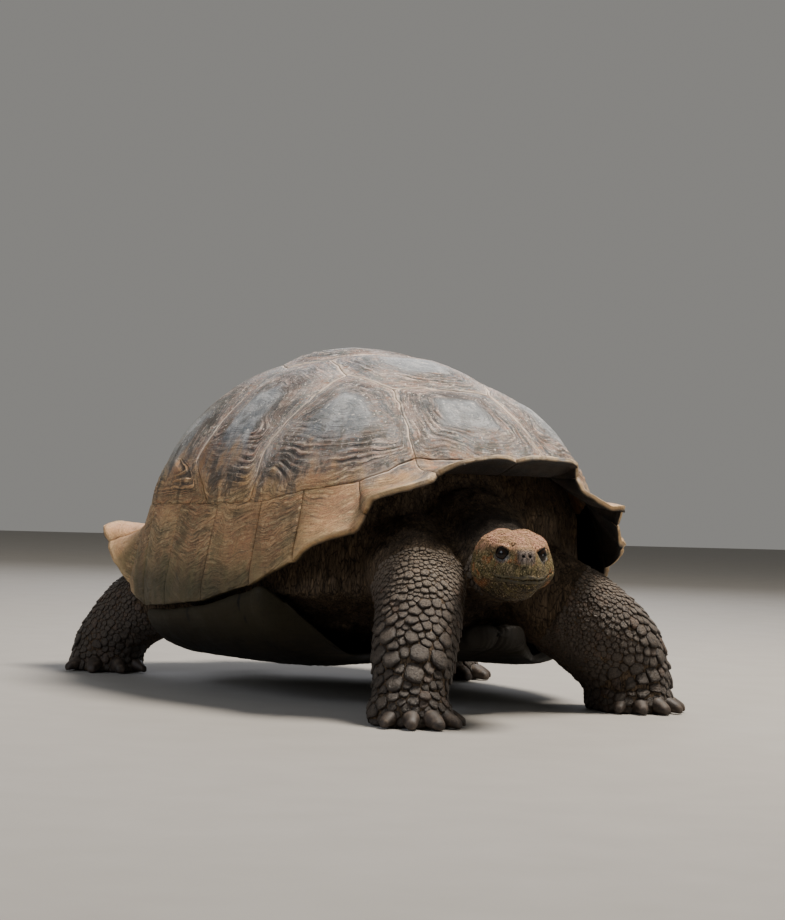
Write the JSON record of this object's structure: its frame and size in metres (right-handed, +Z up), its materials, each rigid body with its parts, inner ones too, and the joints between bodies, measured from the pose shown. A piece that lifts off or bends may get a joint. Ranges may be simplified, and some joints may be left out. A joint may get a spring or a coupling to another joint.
{
  "type": "giant tortoise",
  "caption": "Life-size giant tortoise in mid-step, with a high domed shell of ringed plates, a flared rim, thick scaled legs and its head turned a little to its right.",
  "frame": {"origin": "on the floor under the middle of the bounding box", "axes": "+Z up, +Y towards the tail, +X towards the animal's left side"},
  "size_m": [0.8602, 1.3336, 0.668],
  "materials": {
    "upper_plates": "dull horn with fine growth ridges",
    "rim_plates": "dull earth-coloured horn",
    "lower_shell": "worn dark horn",
    "skin": "dry wrinkled and scaly skin",
    "head_skin": "dry skin with small flat scales",
    "eye": "wet gloss"
  },
  "bodies": {
    "root": {"vertebral_1": "upper_plates", "vertebral_2": "upper_plates", "vertebral_3": "upper_plates", "vertebral_4": "upper_plates", "vertebral_5": "upper_plates", "costal_left_1": "upper_plates", "costal_left_2": "upper_plates", "costal_left_3": "upper_plates", "costal_left_4": "upper_plates", "costal_right_1": "upper_plates", "costal_right_2": "upper_plates", "costal_right_3": "upper_plates", "costal_right_4": "upper_plates", "marginal_left_1": "rim_plates", "marginal_left_2": "rim_plates", "marginal_left_3": "rim_plates", "marginal_left_4": "rim_plates", "marginal_left_5": "rim_plates", "marginal_left_6": "rim_plates", "marginal_left_7": "rim_plates", "marginal_left_8": "rim_plates", "marginal_left_9": "rim_plates", "marginal_left_10": "rim_plates", "marginal_left_11": "rim_plates", "marginal_right_1": "rim_plates", "marginal_right_2": "rim_plates", "marginal_right_3": "rim_plates", "marginal_right_4": "rim_plates", "marginal_right_5": "rim_plates", "marginal_right_6": "rim_plates", "marginal_right_7": "rim_plates", "marginal_right_8": "rim_plates", "marginal_right_9": "rim_plates", "marginal_right_10": "rim_plates", "marginal_right_11": "rim_plates", "marginal_tail": "rim_plates", "plastron": "lower_shell", "trunk": "skin", "neck": "skin", "tail": "skin", "leg_front_right": "skin", "leg_front_left": "skin", "leg_rear_right": "skin", "leg_rear_left": "skin", "head": "head_skin", "jaw": "head_skin", "eye_left": "eye", "eye_right": "eye"}
  },
  "joints": []
}
